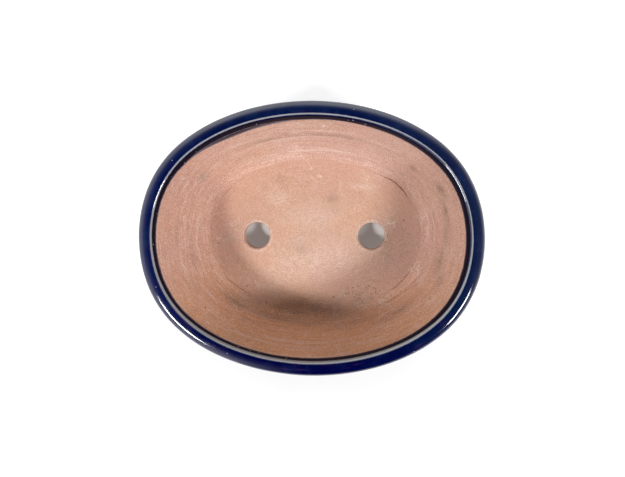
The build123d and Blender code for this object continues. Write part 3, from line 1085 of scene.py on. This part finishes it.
def table():
    """A pale table top. It glows a little, most of all in the pot's shadow, to keep that faint."""
    material, n = new_material("pale_table")
    place = n.position()
    tone = n.noise(place, 14.0, 3.0)
    colour = n.mix(n.range(tone, 0.3, 0.7), rgb(0.67, 0.67, 0.67), rgb(0.69, 0.69, 0.69))
    away = n.add("ShaderNodeVectorMath", {0: place}, operation="LENGTH").outputs["Value"]
    shadow = n.times(n.range(n.parts(place)[1], -0.08, 0.02), n.range(away, 0.05, 0.09))
    glow = n.weigh(
        (shadow, SHADOW_GLOW),
        (n.range(away, 0.10, 0.17), FAR_GLOW),
        (n.range(away, 0.40, 1.40), EDGE_GLOW),
    )
    n.finish(
        Base_Color=colour,
        Roughness=0.6,
        Specular_IOR_Level=0.2,
        Emission_Color=rgb(1.0, 1.0, 1.0),
        Emission_Strength=n.math("ADD", glow, TABLE_GLOW),
    )
    return material


# ---- setting, in metres ----
TABLE_HALF = 1.6
TABLE_GLOW = 0.110  # light given off by the table, everywhere
SHADOW_GLOW = 0.60  # and added in the pot's shadow
FAR_GLOW = 0.135  # and away from the pot
EDGE_GLOW = 0.75  # and far off, where the lamps hardly reach

CAMERA_PLACE = (0.0284, 0.0199, CAD_HIGH.z + 0.2531)  # above the pot, a little right and back
CAMERA_LEAN = (-4.09, 5.45, 0.0)  # degrees; towards the middle of the floor
CAMERA_LENS, CAMERA_SENSOR = 26.0, 36.0

# Two soft boxes in front: direction and height in degrees, distance, width, height, watts.
KEYS = {
    "key_left": (216.5, 51.0, 1.20, 0.26, 0.14, 8.2),
    "key_right": (324.5, 43.5, 1.20, 0.26, 0.24, 10.2),
}
# The room's strength: as it lights the pot, as the glaze mirrors it, and as the camera sees it.
BACK_ROOM, SIDE_ROOM, DIM = 0.90, 0.85, 0.02
BACK_SEEN, LEFT_SEEN, RIGHT_SEEN = 2.7, 1.9, 1.0
BACKDROP = 1.0


def camera():
    """The one camera, close above the pot."""
    data = bpy.data.cameras.new("camera")
    data.lens = CAMERA_LENS
    data.sensor_width = CAMERA_SENSOR
    data.clip_start = 0.01
    view = bpy.data.objects.new("camera", data)
    bpy.context.scene.collection.objects.link(view)
    view.location = CAMERA_PLACE
    view.rotation_euler = [math.radians(degrees) for degrees in CAMERA_LEAN]
    bpy.context.scene.camera = view


def soft_box(name, degrees, height, distance, width, tall, power):
    """A soft light that faces the pot."""
    data = bpy.data.lights.new(name, "AREA")
    data.shape = "RECTANGLE"
    data.size = width
    data.size_y = tall
    data.energy = power
    flat = math.cos(math.radians(height))
    toward = Vector((
        flat * math.cos(math.radians(degrees)),
        flat * math.sin(math.radians(degrees)),
        math.sin(math.radians(height)),
    ))
    lamp = bpy.data.objects.new(name, data)
    lamp.location = toward * distance
    lamp.rotation_euler = toward.to_track_quat("Z", "Y").to_euler()
    lamp.visible_camera = False
    bpy.context.scene.collection.objects.link(lamp)


def room_light(n, east, north, up):
    """The light the room sheds on the pot: most from behind and from the two sides."""
    behind = n.math("POWER", n.math("MAXIMUM", north, 0.0), 2.0)
    fade = n.math("POWER", n.math("SUBTRACT", 1.0, up), 0.75)
    beside = n.times(n.range(up, 0.0, 0.40), n.range(up, 0.85, 0.60))
    return n.weigh(
        (n.times(behind, fade), BACK_ROOM),
        (n.times(n.math("POWER", east, 2.0), beside), SIDE_ROOM),
        (1.0, DIM),
    )


def room_seen(n, east, north, up):
    """The room as the glaze mirrors it: pale walls behind and to the left, dimmer to the right."""
    behind = n.math("POWER", n.math("MAXIMUM", north, 0.0), 5.0)
    left = n.range(east, -0.15, -0.60)
    right = n.times(n.range(east, -0.10, 0.45), n.range(north, -0.95, -0.30))
    low, high = n.range(up, 0.75, 0.0, 0.0, 0.85), n.range(up, 1.0, 0.85, 0.10, 0.22)
    return n.weigh(
        (n.times(behind, n.range(up, 1.0, 0.50)), BACK_SEEN),
        (n.times(left, n.range(up, 0.98, 0.60)), LEFT_SEEN),
        (n.times(right, n.math("ADD", low, high)), RIGHT_SEEN),
    )


def studio():
    """The room's light by direction. The camera itself sees a plain pale backdrop."""
    for name, settings in KEYS.items():
        soft_box(name, *settings)
    world = bpy.data.worlds.new("studio")
    world.use_nodes = True
    bpy.context.scene.world = world
    n = Nodes(world.node_tree)
    x, y, up = n.parts(n.add("ShaderNodeTexCoord").outputs["Generated"])
    level = n.math("SQRT", n.weigh((n.math("POWER", x, 2.0), 1.0), (n.math("POWER", y, 2.0), 1.0)))
    around = (n.math("DIVIDE", x, level), n.math("DIVIDE", y, level), up)
    ray = n.add("ShaderNodeLightPath").outputs
    strength = n.blend(ray["Is Glossy Ray"], room_light(n, *around), room_seen(n, *around))
    strength = n.blend(ray["Is Camera Ray"], strength, BACKDROP)
    background = n.add("ShaderNodeBackground", {"Color": rgb(1.0, 1.0, 1.0), "Strength": strength})
    output = n.add("ShaderNodeOutputWorld")
    n.tree.links.new(background.outputs["Background"], output.inputs["Surface"])
    bpy.context.scene.view_settings.view_transform = "Standard"


def table_top():
    """The table the pot stands on."""
    corners = ((-1, -1), (1, -1), (1, 1), (-1, 1))
    points = [(x * TABLE_HALF, y * TABLE_HALF, 0) for x, y in corners]
    mesh = bpy.data.meshes.new("table")
    mesh.from_pydata(points, [], [(0, 1, 2, 3)])
    mesh.materials.append(table())
    plane = bpy.data.objects.new("table", mesh)
    bpy.context.scene.collection.objects.link(plane)


# ---- putting it together ----
def dress(piece, material, slot, *nodes):
    """Finish a piece: its material, its body and the CAD nodes that it stands for."""
    piece.data.materials.append(material)
    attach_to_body(piece, "root")
    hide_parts(*nodes)
    return piece


def shade_lip_inside(piece, material):
    """Give the faces inside the lip, past a distance from its ridge, the shaded copy of the glaze:
    painted shade, nearly black and barely glossy.
    """
    piece.data.materials.append(material)
    flow = piece.data.attributes["flow"].data
    for polygon in piece.data.polygons:
        if flow[polygon.vertices[0]].vector[2] > SHADE_FROM / DOWN_UNIT:
            polygon.material_index = 1


camera()
studio()
table_top()
clay = terracotta()
glaze = cobalt("cobalt_glaze", 0.5)
# A copy of the glaze with its reflection turned down, as painted shade inside the lip.
shaded_glaze = cobalt("cobalt_glaze_thin", 0.04)
for cad_node in frame["nodes"].values():
    cad_node.data.materials.clear()
    cad_node.data.materials.append(glaze if "glaze" in cad_node.name else clay)
dress(make_wall(), clay, "terracotta", "wall")
dress(make_lip(), clay, "terracotta", "lip_roll")
dress(make_fillet(), clay, "terracotta", "corner_fillet")
dress(make_floor(), clay, "terracotta", "floor_slab")
lip_coat = dress(make_lip_glaze(), glaze, "cobalt_glaze", "lip_glaze")
shade_lip_inside(lip_coat, shaded_glaze)
dress(make_wall_glaze(), glaze, "cobalt_glaze", "wall_glaze")
for corner_name, corner_signs in FOOT_CORNERS.items():
    foot_name = "foot_" + corner_name
    dress(make_foot(foot_name + "_clay", corner_signs), clay, "terracotta", foot_name)
    coat = make_foot_glaze(foot_name + "_coat", corner_signs)
    dress(coat, glaze, "cobalt_glaze", "foot_glaze_" + corner_name)
